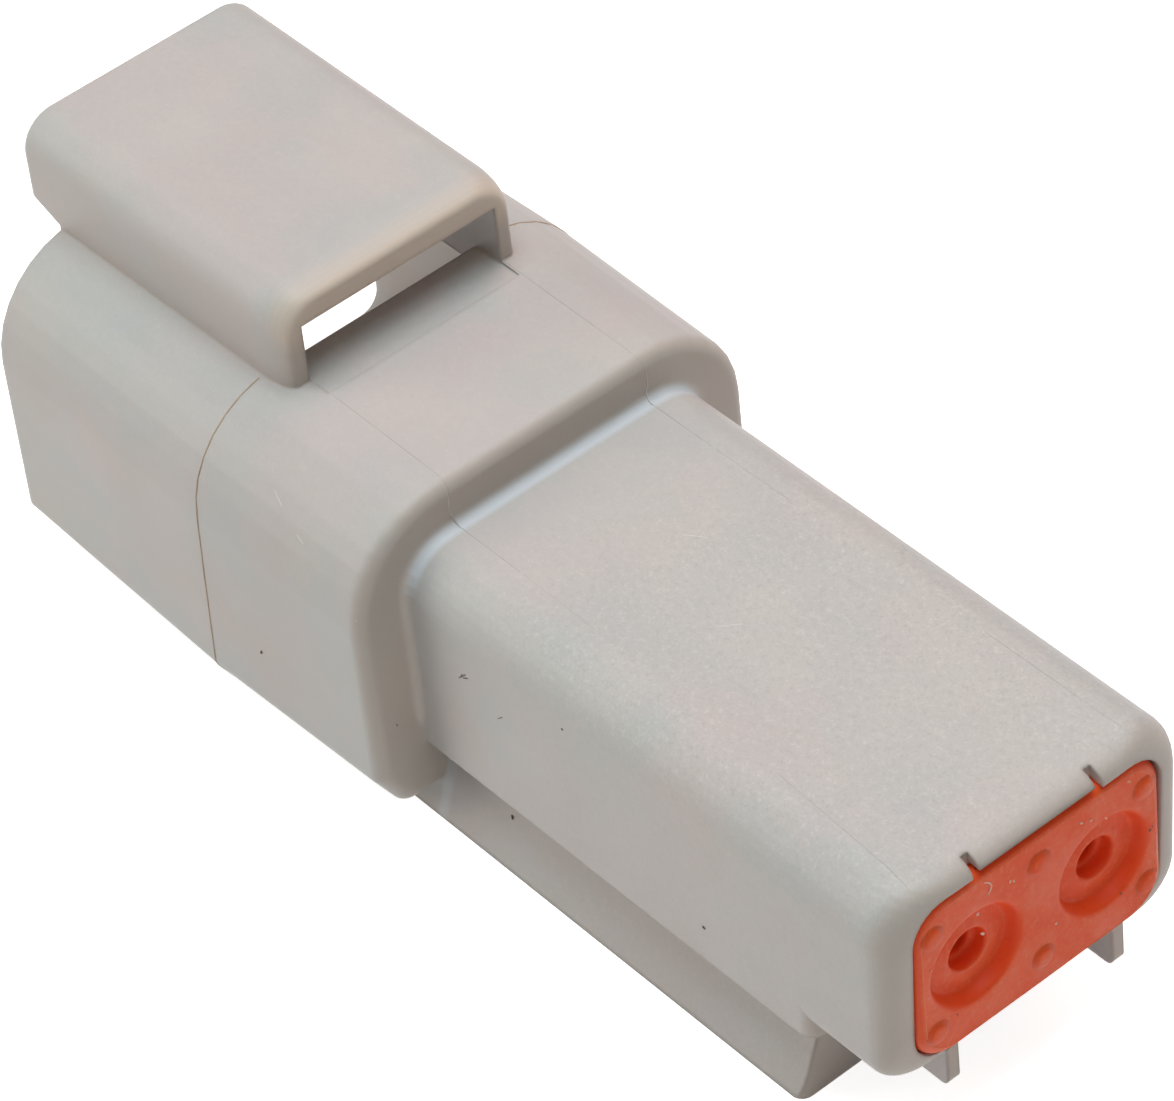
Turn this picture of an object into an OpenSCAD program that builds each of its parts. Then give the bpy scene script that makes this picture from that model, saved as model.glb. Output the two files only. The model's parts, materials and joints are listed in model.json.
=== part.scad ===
// Two-way sealed pin connector (receptacle side), wire end at +X, mating end at -X, mounting side down.
// The origin is under the middle of the housing, on the surface that the mounting rail stands on.

/* [Lengths] */
// Length of the shroud, from its open rim to its rear face
shroud_l = 20.96; // [17:0.1:28]
// Length of the rear body, from the shroud's rear face to the rear lip
body_l = 24.48; // [20:0.1:32]
// How far the latch hood reaches out in front of the shroud's rim
hood_reach = 1.66; // [0.5:0.01:3]
// Length of the latch hood
hood_l = 15.1; // [12:0.1:16]

/* [Shroud] */
// Width of the shroud at its parting plane
shroud_w = 18.18; // [16:0.02:24]
// Height of the shroud's top above the contact axis, at the parting plane
shroud_top = 6.4; // [5.8:0.05:8]
// Depth of the shroud's underside below the contact axis, at the parting plane
shroud_bottom = 7.18; // [6:0.05:8]
// Thickness of the shroud's wall at the rim
shroud_wall = 0.87; // [0.6:0.01:1.4]
// Radius of the shroud's upper corners
shroud_r = 4.3; // [2.5:0.1:4.6]
// Width of the bevel along the shroud's lower corners
bevel_w = 1.04; // [0.6:0.02:2]
// Height of the bevel along the shroud's lower corners
bevel_h = 1.76; // [0.8:0.02:2.5]
// Radius that softens the ends of the lower bevel
bevel_r = 0.7; // [0.2:0.05:0.9]
// Distance of the parting plane from the rim
parting_l = 11.6; // [8:0.1:15]
// Draft of the shroud on each side, from the parting plane to the rim
rim_draft = 0.24; // [0.1:0.01:0.5]
// Draft of the shroud on each side, from the parting plane to the rear face
rear_draft = 0.15; // [0.05:0.01:0.4]
// Radius of the shroud's rear outer edge
shoulder_r = 0.55; // [0.3:0.05:1.2]
// Radius of the hollow fillet between the shroud and the rear body
collar_r = 0.35; // [0.3:0.01:0.7]
// Radius of the lower corners inside the shroud
cavity_low_r = 0.9; // [0.6:0.1:2]
// Thickness of the floor at the back of the shroud
floor_t = 2.0; // [1.6:0.1:4]

/* [Latch hood] */
// Outer width of the latch hood
hood_w = 10.62; // [9:0.02:12]
// Height of the latch hood's top above the contact axis
hood_top = 10.08; // [9.4:0.02:12]
// Thickness of the hood's side legs
hood_leg_t = 0.92; // [0.6:0.01:1.2]
// Thickness of the hood's roof
hood_roof_t = 1.22; // [0.8:0.01:1.6]
// Radius of the hood's upper corners
hood_r = 1.4; // [0.8:0.05:2]
// Length of the catch strip that the mating latch hooks behind
catch_l = 1.45; // [0.8:0.05:2]
// Fall of the catch strip towards the slot
catch_fall = 0.05; // [0.05:0.05:0.5]

/* [Rear body] */
// Width of the rear body
body_w = 13.6; // [12.8:0.1:15]
// Height of the rear body
body_h = 8.8; // [8.5:0.02:10.5]
// Radius of the rear body's upper corners
body_r = 2.0; // [1:0.1:2.6]
// Radius of the rear body's lower corners
body_low_r = 1.6; // [1:0.1:2.6]
// Length of the rounding towards the rear lip
rim_l = 1.3; // [0.6:0.05:1.6]
// Inset of the rounding at the rear lip, on the sides
rim_side = 1.0; // [0.4:0.05:1.05]
// Inset of the rounding at the rear lip, on the top
rim_top = 0.66; // [0.2:0.02:0.7]
// Inset of the rounding at the rear lip, on the underside
rim_low = 0.95; // [0.2:0.05:1.2]
// Radius of the outline's upper corners at the rear lip
rim_r = 2.6; // [1.4:0.1:3]
// How far the lip's underside is set back from its top
lip_lean = 0.4; // [0:0.05:0.5]

/* [Mounting rail] */
// Width of the mounting rail at its foot
rail_w = 13.5; // [11:0.1:13.6]
// Width of the mounting rail's neck, under the rear body
rail_neck_w = 10.8; // [10.4:0.1:11.4]
// Depth of the mounting rail's foot below the contact axis
rail_drop = 8.22; // [7.6:0.02:11]
// Distance of the rail's rear end from the rear lip
rail_setback = 5.1; // [3:0.1:9]
// Distance of the side ledge's rear end from the rear lip
ledge_setback = 4.16; // [2.5:0.1:7]
// Radius of the rail's rear corners
rail_r = 0.5; // [0.2:0.05:1]
// Width of the clip slot's mouth
slot_mouth_w = 6.4; // [5:0.1:7]
// Width of the clip slot behind its lips
slot_w = 8.8; // [7.6:0.1:10]
// Height of the clip slot behind its lips
slot_h = 1.5; // [1:0.05:2]
// Length of the clip slot
slot_l = 13.0; // [9:0.5:16]
// Thickness of the wall between the clip slot and the body above it
slot_roof_t = 0.55; // [0.3:0.05:0.7]
// Radius of the side ledges' rear corners
ledge_r = 0.6; // [0.2:0.05:1.2]
// Thickness of the two guide fins behind the rail
fin_t = 0.52; // [0.4:0.02:1.2]
// Clear width between the two guide fins
fin_gap = 7.1; // [6.4:0.02:8]
// Depth of the guide fins below the rear body
fin_h = 1.46; // [0.8:0.05:2]
// Distance of the guide fins' rear ends from the rear lip
fin_setback = 0.54; // [0.4:0.02:2]

/* [Contacts] */
// Distance between the two contacts' axes
pitch = 5.8; // [5.4:0.05:6.4]
// Diameter of the contact pin
pin_d = 1.57; // [1.2:0.01:1.8]
// Distance of the pin's tip behind the shroud's rim
pin_recess = 7.3; // [4:0.1:10]
// Length of the pin's free end, in front of its thicker root
pin_free_l = 5.9; // [5:0.1:6]
// Diameter of the pin's root
root_d = 1.9; // [1.7:0.05:2.1]
// Diameter of the contact's collar
contact_collar_d = 2.6; // [2.3:0.05:2.9]
// Length of the contact's collar
contact_collar_l = 0.8; // [0.5:0.05:1.2]
// Diameter of the contact's shank behind the collar
shank_d = 1.9; // [1.6:0.05:2.1]
// Length of the contact's shank
shank_l = 3.6; // [2.5:0.1:5]
// Diameter of the contact's wire barrel
barrel_d = 2.56; // [2.2:0.02:2.8]
// Length of the contact's wire barrel
barrel_l = 5.4; // [4:0.1:6.5]
// Diameter of the wire barrel's bore
barrel_bore_d = 1.7; // [1.2:0.05:1.9]
// Diameter of the contact cavity in the housing
cavity_d = 3.1; // [3:0.05:3.4]

/* [Wedge lock] */
// Width of the wedge lock's block
wedge_w = 12.4; // [11:0.1:13.4]
// Height of the wedge lock's block
wedge_h = 6.8; // [5.6:0.1:8]
// Length of the wedge lock's block
wedge_l = 5.4; // [4:0.1:7]
// Length of the wedge lock's tongue
tongue_l = 7.6; // [6:0.1:8]
// Thickness of the wedge lock's tongue
tongue_t = 1.24; // [0.9:0.02:1.3]
// Height of the wedge lock's tongue
tongue_h = 3.6; // [2.8:0.1:4.2]
// Thickness of the contact-locking fingers
finger_t = 0.6; // [0.4:0.02:0.7]
// Height of the contact-locking fingers
finger_h = 1.8; // [1.2:0.1:2]
// Diameter of the pin holes through the wedge lock
wedge_hole_d = 2.4; // [2:0.05:2.8]

/* [Rear seal] */
// Width of the rear seal
seal_w = 11.14; // [10.8:0.02:11.3]
// Height of the rear seal
seal_h = 7.3; // [6.6:0.02:7.4]
// Length of the rear seal
seal_l = 8.7; // [6:0.1:10]
// Depth of the seal's face inside the rear lip
seal_setback = 0.08; // [0.05:0.01:0.6]
// Radius of the seal's corners
seal_r = 1.5; // [0.8:0.05:1.8]
// Radius of the seal's face edge
seal_edge_r = 0.45; // [0.2:0.05:0.6]
// Diameter of the wire hole through the seal
wire_hole_d = 1.62; // [1:0.02:2]
// Diameter of the dish round each wire hole
dish_d = 4.16; // [3.4:0.02:4.6]
// Depth of the dish round each wire hole
dish_h = 0.55; // [0.3:0.05:0.8]
// Diameter of the raised dots on the seal's face
dot_d = 0.84; // [0.5:0.02:1.2]
// Height of the raised dots on the seal's face
dot_h = 0.16; // [0.08:0.01:0.25]
// Distance of the outer raised dots from the middle of the seal
dot_y = 4.78; // [4.4:0.02:4.9]
// Distance of the raised dots above and below the contact axis
dot_z = 2.25; // [1.9:0.05:2.5]
// Clearance between the seal and its pocket
seal_gap = 0.05; // [0.02:0.01:0.1]

/* [Fits] */
// Clearance between the pieces that seat on the housing's core
seat_gap = 0.05; // [0.02:0.01:0.1]

/* [Hidden] */

$fn = 64;
eps = 0.02;
arc_n = 8;
grey = [0.72, 0.70, 0.68];
orange = [0.85, 0.36, 0.20];
wedge_orange = [0.93, 0.45, 0.13];
nickel = [0.78, 0.76, 0.72];

// Stations along the length, with x = 0 in the middle of the whole housing
total_l = hood_reach + shroud_l + body_l;
x_hood = -total_l / 2;
x_rim = x_hood + hood_reach;
x_parting = x_rim + parting_l;
x_face = x_rim + shroud_l;
x_rear = x_face + body_l;
x_floor = x_face - floor_t;
x_hood_end = x_hood + hood_l;
x_catch = x_hood_end - catch_l;
x_seal_face = x_rear - seal_setback;
x_seal_back = x_seal_face - seal_l;
x_rail_end = x_rear - rail_setback;
x_ledge_end = x_rear - ledge_setback;

// Heights are measured from the contact axis, and rail_drop lifts everything onto z = 0
side = [-1, 1];
body_z = body_h / 2;
hood_floor_z = shroud_top - 0.1;
channel_w = hood_w - 2 * hood_leg_t;
channel_top = hood_top - hood_roof_t;
cavity_w = shroud_w - 2 * rim_draft - 2 * shroud_wall;
cavity_top = shroud_top - rim_draft - shroud_wall;
cavity_bottom = shroud_bottom - rim_draft - shroud_wall;
cavity_r = shroud_r - shroud_wall;

// Contact stations: the collar stops against a step in the cavity, the finger catches behind it
stop_t = 1.1;
x_collar = x_floor + stop_t + seat_gap;
x_shank = x_collar + contact_collar_l;
x_barrel = x_shank + shank_l;
x_barrel_end = x_barrel + barrel_l;
x_tip = x_rim + pin_recess;
pin_gap = 0.16;
finger_play = 0.15;
x_finger = x_shank + 0.1;
x_slot_end = x_floor + tongue_l + 1.2;
slot_half = tongue_t / 2 + finger_play + finger_t;

// Points of a rounded outline: each corner is [y, z, radius], taken in order round the shape
function unit(v) = v / norm(v);
function turn(v, a) = [v.x * cos(a) - v.y * sin(a), v.x * sin(a) + v.y * cos(a)];
function fillet(p, before, after, r, n) =
    let (u = unit(before - p), v = unit(after - p), a = acos(u * v), c = p + unit(u + v) * r / sin(a / 2),
         from = p + u * r / tan(a / 2) - c, way = sign(u.x * v.y - u.y * v.x))
    [for (i = [0:n]) c + turn(from, -way * (180 - a) * i / n)];
function yz(c) = [c[0], c[1]];
function outline(corners, n = arc_n) =
    let (k = len(corners))
    [for (i = [0:k - 1]) each fillet(yz(corners[i]), yz(corners[(i + k - 1) % k]),
                                     yz(corners[(i + 1) % k]), corners[i][2], n)];

// A box outline, w wide, from z0 to z1, with its own radius for the upper and the lower corners
function box_outline(w, z0, z1, r_top, r_low) =
    outline([[-w / 2, z1, r_top], [w / 2, z1, r_top], [w / 2, z0, r_low], [-w / 2, z0, r_low]]);

// The shroud's outline at x, set in by d: upper corners rounded, lower corners bevelled
bevel_turn = atan(bevel_w / bevel_h);
function shroud_draft(x) = lookup(x, [[x_rim, rim_draft], [x_parting, 0], [x_face, rear_draft]]);
function shroud_outline(x, d = 0) =
    let (e = shroud_draft(x), w = shroud_w / 2 - e - d, t = shroud_top - e - d, b = e - shroud_bottom + d,
         bz = e - shroud_bottom + bevel_h + d * tan(bevel_turn / 2),
         by = shroud_w / 2 - e - bevel_w - d * tan(45 - bevel_turn / 2),
         r = max(0.3, shroud_r - d), rb = max(0.1, bevel_r - d / 2))
    outline([[-w, t, r], [w, t, r], [w, bz, rb], [by, b, rb], [-by, b, rb], [-w, bz, rb]]);

// The rear body's outline, grown by d
function body_outline(d = 0) =
    box_outline(body_w + 2 * d, -body_z - d, body_z + d, body_r + d, body_low_r + d);

// A solid through a list of stations [x, outline, lean]; lean draws the low points forward
module loft(stations) {
    n = len(stations[0][1]);
    m = len(stations);
    points = [for (s = stations) let (lean = len(s) > 2 ? s[2] : 0) for (p = s[1])
              [s[0] - lean * (body_z - p.y), p.x, p.y]];
    skin = [for (j = [0:m - 2]) for (i = [0:n - 1]) let (a = j * n + i, b = j * n + (i + 1) % n)
            each [[a, b, a + n], [b, b + n, a + n]]];
    front = [for (i = [0:n - 1]) n - 1 - i];
    back = [for (i = [0:n - 1]) (m - 1) * n + i];
    polyhedron(points = points, faces = concat([front], skin, [back]), convexity = 6);
}

// A prism along x with a given outline
module along_x(x0, x1, points) {
    translate([x0, 0, 0]) rotate([90, 0, 90]) linear_extrude(x1 - x0) polygon(points);
}

// A prism across y, w wide, with an outline in x and z
module across_y(w, points) {
    translate([0, w / 2, 0]) rotate([90, 0, 0]) linear_extrude(w) polygon(points);
}

module block(x0, x1, w, z0, z1) {
    translate([x0, -w / 2, z0]) cube([x1 - x0, w, z1 - z0]);
}

module rod(x0, x1, d) {
    translate([x0, 0, 0]) rotate([0, 90, 0]) cylinder(h = x1 - x0, d = d);
}

// A turned shape about the x axis, from points [radius, x]
module turned(points) {
    rotate([0, 90, 0]) rotate_extrude() polygon(points);
}

module at_contacts() {
    for (s = side) translate([0, s * pitch / 2, 0]) children();
}

// Shroud: drafted both ways from the parting plane, with a rounded shoulder at the back
module shroud_solid() {
    rim_r = 0.15;
    loft(concat(
        [[x_rim, shroud_outline(x_rim, rim_r)], [x_rim + rim_r, shroud_outline(x_rim + rim_r)]],
        [[x_parting, shroud_outline(x_parting)]],
        [for (i = [0:arc_n]) let (a = 90 * i / arc_n, x = x_face - shoulder_r * (1 - sin(a)))
            [x, shroud_outline(x, shoulder_r * (1 - cos(a)))]]
    ));
}

// Hollow fillet that runs from the shroud's rear face down to the rear body
module collar_solid() {
    loft(concat(
        [[x_face - shoulder_r, body_outline(collar_r)]],
        [for (i = [0:arc_n - 1]) let (a = 80 * i / (arc_n - 1))
            [x_face + collar_r * (1 - cos(a)), body_outline(collar_r * (1 - sin(a)))]],
        [[x_face + collar_r, body_outline(-0.05)]]
    ));
}

// Rear body, rounded in towards the rear lip
module body_solid() {
    lean = lip_lean / body_h;
    function rim(u) = box_outline(body_w - 2 * rim_side * u, rim_low * u - body_z, body_z - rim_top * u,
                                  body_r + (rim_r - body_r) * u, body_low_r);
    loft(concat(
        [[x_floor + eps, body_outline()]],
        [for (i = [0:arc_n]) let (a = 90 * i / arc_n)
            [x_rear - rim_l * (1 - sin(a)), rim(1 - cos(a)), lean * sin(a)]]
    ));
}

// Latch hood: a solid block over the shroud with a rounded rear rim, hollowed out later
module hood_solid() {
    front_r = 0.25;
    rear_l = 1.6;
    rear_in = 0.45;
    base_z = shroud_top - shroud_wall;
    function ring(d) = outline([[-hood_w / 2 + d, hood_top - d, hood_r], [hood_w / 2 - d, hood_top - d, hood_r],
                                [hood_w / 2 - d, base_z, 0.02], [-hood_w / 2 + d, base_z, 0.02]]);
    difference() {
        loft(concat(
            [for (i = [0:3]) let (a = 90 * i / 3) [x_hood + front_r * (1 - cos(a)), ring(front_r * (1 - sin(a)))]],
            [for (i = [0:arc_n]) let (a = 90 * i / arc_n)
                [x_hood_end - rear_l * (1 - sin(a)), ring(rear_in * (1 - cos(a)))]]
        ));
        across_y(hood_w + 1, [[x_hood - 1, base_z - 1], [x_rim, base_z - 1], [x_rim, shroud_top - rim_draft],
                              [x_hood + 0.1, shroud_top + 0.35], [x_hood - 1, shroud_top + 0.35]]);
    }
}

// Channel under the hood for the mating latch, open at both ends and down into the shroud's mouth
module latch_channel() {
    low = cavity_top - 1;
    across_y(channel_w, [[x_hood - 1, low], [x_hood - 1, channel_top], [x_hood_end + 1, channel_top],
                         [x_hood_end + 1, hood_floor_z], [x_hood_end, hood_floor_z],
                         [x_catch, hood_floor_z - catch_fall], [x_catch, low]]);
}

// Room in the shroud for the mating plug
module shroud_cavity() {
    along_x(x_rim - 1, x_floor, box_outline(cavity_w, -cavity_bottom, cavity_top, cavity_r, cavity_low_r));
}

// Outline of a plate seen from above, from the shroud's floor back to x1, with its rear corners rounded
module plate(x1, w, r) {
    difference() {
        translate([x_floor + eps, -w / 2]) square([x1 - x_floor - eps, w]);
        for (s = side) translate([x1, s * w / 2]) difference() {
            square(2 * r, center = true);
            translate([-r, -s * r]) circle(r);
        }
    }
}

// Side ledges, mounting rail and guide fins under the rear body
module rail_solid() {
    translate([0, 0, -body_z]) linear_extrude(body_r) plate(x_ledge_end, body_w, ledge_r);
    intersection() {
        translate([0, 0, -rail_drop]) linear_extrude(rail_drop) plate(x_rail_end, rail_w, rail_r);
        along_x(x_floor, x_rail_end + 1, [[-rail_w / 2, -rail_drop - eps], [rail_w / 2, -rail_drop - eps],
                                          [rail_neck_w / 2, eps - body_z], [-rail_neck_w / 2, eps - body_z]]);
    }
    for (s = side) translate([0, s * (fin_gap + fin_t) / 2, 0]) fin();
}

// One guide fin, with a round lower corner at its rear end
module fin() {
    x1 = x_rear - fin_setback;
    z = -body_z - fin_h;
    r = fin_h / 4;
    corner = [for (i = [0:6]) [x1 - r + r * cos(15 * i), z + r - r * sin(15 * i)]];
    across_y(fin_t, concat([[x1, r - body_z]], corner, [[x_rail_end - eps, z], [x_rail_end - eps, r - body_z]]));
}

// T-shaped slot that the mounting clip slides into from behind
module clip_slot() {
    x0 = x_rail_end - slot_l;
    top = -body_z - slot_roof_t;
    block(x0, x_rail_end + eps, slot_w, top - slot_h, top);
    block(x0, x_rail_end + eps, slot_mouth_w, -rail_drop - 1, top);
}

// Pocket for the rear seal, with small gate notches in the lip above and below it
module seal_pocket() {
    notch_w = 0.32;
    notch_l = 0.65;
    notch_y = 2.75;
    lip = 0.17;
    along_x(x_seal_back - seal_gap, x_rear + 1,
            box_outline(seal_w + 2 * seal_gap, -seal_h / 2 - seal_gap, seal_h / 2 + seal_gap, seal_r, seal_r));
    block(x_rear - notch_l, x_rear + 1, 2 * notch_y, -seal_h / 2 - seal_gap - lip, seal_h / 2 + seal_gap + lip);
    for (s = side) translate([0, s * notch_y, 0]) 
        block(x_rear - notch_l, x_rear + 1, notch_w, -body_z - 1, body_z + 1);
}

// Contact cavity: a stop step at the front, a wider run for the wire barrel behind
module contact_cavity() {
    rod(x_floor - 1, x_floor + stop_t + eps, root_d + 2 * pin_gap);
    rod(x_floor + stop_t, x_seal_back, cavity_d);
}

// Locking finger beside one contact, rooted at the back and hooked behind the contact's collar
module locking_finger() {
    catch_l0 = 0.8;
    catch_y = pitch / 2 - shank_d / 2 - 0.1;
    y0 = tongue_t / 2 + finger_play;
    translate([x_finger, y0, -finger_h / 2]) cube([x_slot_end - x_finger + eps, finger_t, finger_h]);
    translate([x_finger, y0, -finger_h / 3]) cube([catch_l0, catch_y - y0, finger_h * 2 / 3]);
}

module housing() {
    color(grey) translate([0, 0, rail_drop]) {
        difference() {
            union() {
                shroud_solid();
                collar_solid();
                body_solid();
                hood_solid();
                rail_solid();
            }
            shroud_cavity();
            latch_channel();
            clip_slot();
            seal_pocket();
            at_contacts() contact_cavity();
            block(x_floor - 1, x_slot_end, 2 * slot_half, -tongue_h / 2 - finger_play, tongue_h / 2 + finger_play);
        }
        for (s = [0, 1]) mirror([0, s, 0]) locking_finger();
    }
}

// Silicone rear seal: ribbed round its edge, with a dish and a ribbed bore for each wire
module rear_seal() {
    rib_in = 0.35;
    rib_n = 3;
    head_l = 1.6;
    relief_d = wire_hole_d + 0.9;
    land_l = 1.4;
    function ring(d) = box_outline(seal_w - 2 * d, -seal_h / 2 + d, seal_h / 2 - d, seal_r, seal_r);
    rib_l = (seal_l - head_l) / rib_n;
    color(orange) translate([0, 0, rail_drop]) {
        difference() {
            loft(concat(
                [[x_seal_back, ring(rib_in)]],
                [for (j = [0:rib_n - 1]) for (i = [0:6])
                    [x_seal_back + rib_l * (j + 0.15 + 0.7 * i / 6), ring(rib_in * (1 - sin(30 * i)))]],
                [[x_seal_face - head_l, ring(rib_in)], [x_seal_face - head_l + 0.4, ring(0)]],
                [for (i = [0:5]) let (a = 90 * i / 5)
                    [x_seal_face - seal_edge_r * (1 - sin(a)), ring(seal_edge_r * (1 - cos(a)))]]
            ));
            at_contacts() {
                turned([[0, x_seal_face + 1], [dish_d / 2, x_seal_face + 1], [dish_d / 2, x_seal_face],
                        [dish_d / 2 - 0.1, x_seal_face - 0.25], [dish_d / 2 - 0.35, x_seal_face - dish_h],
                        [wire_hole_d / 2 + 0.25, x_seal_face - 0.15], [wire_hole_d / 2, x_seal_face - 0.35],
                        [0, x_seal_face - 0.35]]);
                rod(x_seal_back - 1, x_seal_face, wire_hole_d);
                for (x = [x_seal_back + land_l, x_seal_face - 2 * land_l - 1.6])
                    rod(x, x + 1.6, relief_d);
            }
        }
        for (y = [-dot_y, 0, dot_y], s = side) seal_dot(y, s * dot_z);
    }
}

module seal_dot(y, z) {
    translate([x_seal_face - eps, y, z]) rotate([0, 90, 0])
        cylinder(h = dot_h + eps, d1 = dot_d, d2 = dot_d * 0.6);
}

// Wedge lock: a block with two pin holes and a tongue that backs up the locking fingers
module wedge_lock() {
    x1 = x_floor - seat_gap;
    x0 = x1 - wedge_l;
    grip_w = 1.8;
    grip_h = 3.2;
    grip_l = 2.2;
    edge = 0.3;
    color(wedge_orange) translate([0, 0, rail_drop]) difference() {
        union() {
            along_x(x0, x1, box_outline(wedge_w, -wedge_h / 2, wedge_h / 2, 1, 1));
            across_y(tongue_t, [[x1 - eps, -tongue_h / 2], [x1 + tongue_l - 1, -tongue_h / 2],
                                [x1 + tongue_l, -tongue_h / 2 + 0.6], [x1 + tongue_l, tongue_h / 2 - 0.6],
                                [x1 + tongue_l - 1, tongue_h / 2], [x1 - eps, tongue_h / 2]]);
        }
        at_contacts() {
            rod(x0 - 1, x1 + 1, wedge_hole_d);
            turned([[0, x0 - edge], [wedge_hole_d / 2 + 2 * edge, x0 - edge], [wedge_hole_d / 2, x0 + edge],
                    [0, x0 + edge]]);
        }
        block(x0 - 1, x0 + grip_l, grip_w, -grip_h / 2, grip_h / 2);
    }
}

// Pin contact: rounded pin, collar, shank and wire barrel
module contact(y) {
    r = pin_d / 2;
    root_r = root_d / 2;
    nose = 0.8;
    bore_l = barrel_l - 0.6;
    color(nickel) translate([0, y, rail_drop]) difference() {
        union() {
            turned(concat([[0, x_tip]],
                [for (i = [1:6]) let (a = 90 * i / 6) [r * 0.45 + r * 0.55 * sin(a), x_tip + nose * (1 - cos(a))]],
                [[r, x_tip + pin_free_l], [root_r, x_tip + pin_free_l + root_r - r],
                    [root_r, x_collar], [0, x_collar]]));
            rod(x_collar - eps, x_shank, contact_collar_d);
            rod(x_shank - eps, x_barrel, shank_d);
            rod(x_barrel - eps, x_barrel_end, barrel_d);
        }
        rod(x_barrel_end - bore_l, x_barrel_end + 1, barrel_bore_d);
        translate([x_barrel_end - bore_l + 0.5, 0, 0]) cylinder(h = barrel_d, d = 0.6);
    }
}

module contact_left() { contact(-pitch / 2); }
module contact_right() { contact(pitch / 2); }

housing();
rear_seal();
wedge_lock();
contact_left();
contact_right();
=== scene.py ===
import bmesh
import bpy
import json
import math
from mathutils import Matrix, Vector
from mathutils.bvhtree import BVHTree
from mathutils.geometry import delaunay_2d_cdt


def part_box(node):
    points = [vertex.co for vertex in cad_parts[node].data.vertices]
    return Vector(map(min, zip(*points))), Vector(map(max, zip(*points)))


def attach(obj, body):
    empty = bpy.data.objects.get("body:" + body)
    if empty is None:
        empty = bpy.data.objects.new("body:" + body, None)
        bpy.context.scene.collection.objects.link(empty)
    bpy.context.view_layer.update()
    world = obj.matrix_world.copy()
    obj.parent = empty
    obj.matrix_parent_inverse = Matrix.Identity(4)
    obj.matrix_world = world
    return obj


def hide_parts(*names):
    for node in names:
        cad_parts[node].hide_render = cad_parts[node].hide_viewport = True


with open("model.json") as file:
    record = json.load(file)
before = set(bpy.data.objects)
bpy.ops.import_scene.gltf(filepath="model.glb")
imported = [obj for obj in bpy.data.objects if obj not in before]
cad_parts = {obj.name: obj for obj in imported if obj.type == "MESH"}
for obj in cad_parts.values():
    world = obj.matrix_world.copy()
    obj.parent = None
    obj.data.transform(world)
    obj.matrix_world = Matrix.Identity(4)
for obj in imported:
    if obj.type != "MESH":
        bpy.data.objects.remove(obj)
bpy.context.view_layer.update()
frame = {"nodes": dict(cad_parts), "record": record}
MM = 0.001
scene = bpy.context.scene
nodes = frame["nodes"]


def mm(x, y, z):
    return Vector((x * MM, y * MM, z * MM))


# ------------------------------------------------------------------ camera
def make_camera():
    data = bpy.data.cameras.new("camera")
    data.sensor_width = 36.0
    data.lens = 181.6
    data.clip_start, data.clip_end = 0.005, 10.0
    cam = bpy.data.objects.new("camera", data)
    scene.collection.objects.link(cam)
    right = Vector((0.6504, 0.7549, -0.0845)).normalized()
    back = Vector((0.5886, -0.4306, 0.6842)).normalized()
    up = back.cross(right).normalized()
    right = up.cross(back)
    turn = Matrix((right, up, back)).transposed().to_4x4()
    cam.matrix_world = Matrix.Translation(mm(122.60, -89.19, 151.15)) @ turn
    scene.camera = cam


make_camera()


# ------------------------------------------------------------------ node helpers
class Tree:
    """Short ways to place and join shader nodes."""

    def __init__(self, tree):
        self.t = tree

    def put(self, kind, **values):
        n = self.t.nodes.new(kind)
        for key, value in values.items():
            setattr(n, key, value)
        return n

    def join(self, a, b):
        self.t.links.new(a, b)

    def math(self, op, a, b=0.0, clamp=False):
        n = self.put("ShaderNodeMath", operation=op, use_clamp=clamp)
        for slot, v in zip(n.inputs, (a, b)):
            self.feed(slot, v)
        return n.outputs[0]

    def feed(self, slot, v):
        if isinstance(v, bpy.types.NodeSocket):
            self.join(v, slot)
        else:
            slot.default_value = v

    def mix(self, factor, a, b, blend="MIX"):
        n = self.put("ShaderNodeMix", data_type="RGBA", blend_type=blend)
        self.feed(n.inputs[0], factor)
        for slot, v in ((n.inputs[6], a), (n.inputs[7], b)):
            self.feed(slot, v if isinstance(v, bpy.types.NodeSocket) else (*v, 1.0))
        return n.outputs[2]

    def noise(self, vector, scale, detail=2.0, rough=0.5, stretch=None):
        n = self.put("ShaderNodeTexNoise")
        n.inputs["Scale"].default_value = scale
        n.inputs["Detail"].default_value = detail
        n.inputs["Roughness"].default_value = rough
        if stretch:
            m = self.put("ShaderNodeMapping")
            m.inputs["Scale"].default_value = stretch
            self.join(vector, m.inputs["Vector"])
            vector = m.outputs[0]
        self.join(vector, n.inputs["Vector"])
        return n.outputs["Fac"]

    def ramp(self, fac, low, high, out_low=0.0, out_high=1.0):
        n = self.put("ShaderNodeMapRange")
        self.feed(n.inputs["Value"], fac)
        for key, v in (("From Min", low), ("From Max", high), ("To Min", out_low), ("To Max", out_high)):
            self.feed(n.inputs[key], v)
        return n.outputs[0]


def srgb(r, g, b):
    """A colour given as it looks, 0 to 255, made linear."""
    def one(c):
        c /= 255
        return c / 12.92 if c <= 0.04045 else ((c + 0.055) / 1.055) ** 2.4
    return (one(r), one(g), one(b))


def new_group(name, inputs, outputs):
    g = bpy.data.node_groups.new(name, "ShaderNodeTree")
    for label, kind, default in inputs:
        s = g.interface.new_socket(name=label, in_out="INPUT", socket_type=kind)
        if default is not None:
            s.default_value = default
    for label, kind in outputs:
        g.interface.new_socket(name=label, in_out="OUTPUT", socket_type=kind)
    t = Tree(g)
    return g, t, t.put("NodeGroupInput"), t.put("NodeGroupOutput")


F, V, C = "NodeSocketFloat", "NodeSocketVector", "NodeSocketColor"


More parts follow.
